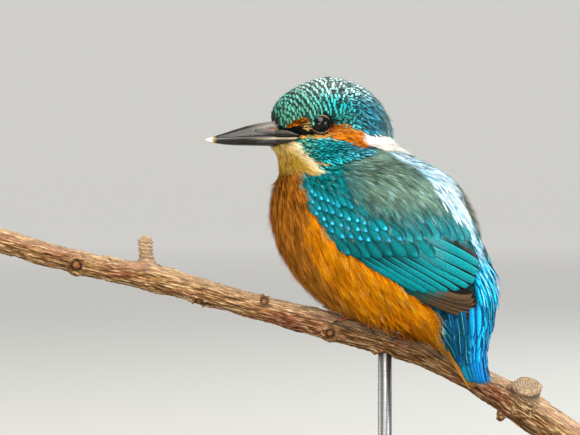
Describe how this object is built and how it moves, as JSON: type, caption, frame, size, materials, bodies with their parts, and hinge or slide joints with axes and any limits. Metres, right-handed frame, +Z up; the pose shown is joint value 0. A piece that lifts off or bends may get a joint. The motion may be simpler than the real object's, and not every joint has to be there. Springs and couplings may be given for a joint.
{
  "type": "common kingfisher model",
  "caption": "Life-size kingfisher, young male, fluffed and perched on a cut branch that a rod and flat base hold up.",
  "frame": {"origin": "centre of the underside of the stand's base", "axes": "+Z up; -X the way the bill points; -Y out of the bird's left side"},
  "size_m": [0.2189, 0.086, 0.1513],
  "materials": {
    "crown_feathers": "silky barred feathers",
    "belly_feathers": "soft loose feathers",
    "wing_feathers": "smooth glossy vanes",
    "tail_feathers": "smooth glossy vanes",
    "bill_horn": "satin horn",
    "eye": "wet gloss",
    "leg_skin": "scaly skin",
    "claw_horn": "satin horn",
    "bark": "rough fibrous bark",
    "stand_wood": "waxed dark wood",
    "stand_metal": "brushed"
  },
  "bodies": {
    "root": {"head": "crown_feathers", "neck": "crown_feathers", "trunk": "belly_feathers", "wing_left": "wing_feathers", "wing_right": "wing_feathers", "tail": "tail_feathers", "bill_upper": "bill_horn", "bill_lower": "bill_horn", "eye_left": "eye", "eye_right": "eye", "leg_left": "leg_skin", "leg_right": "leg_skin", "claw_left_1": "claw_horn", "claw_left_2": "claw_horn", "claw_left_3": "claw_horn", "claw_left_4": "claw_horn", "claw_right_1": "claw_horn", "claw_right_2": "claw_horn", "claw_right_3": "claw_horn", "claw_right_4": "claw_horn", "perch_branch": "bark", "stand_base": "stand_wood", "stand_rod": "stand_metal"}
  },
  "joints": []
}
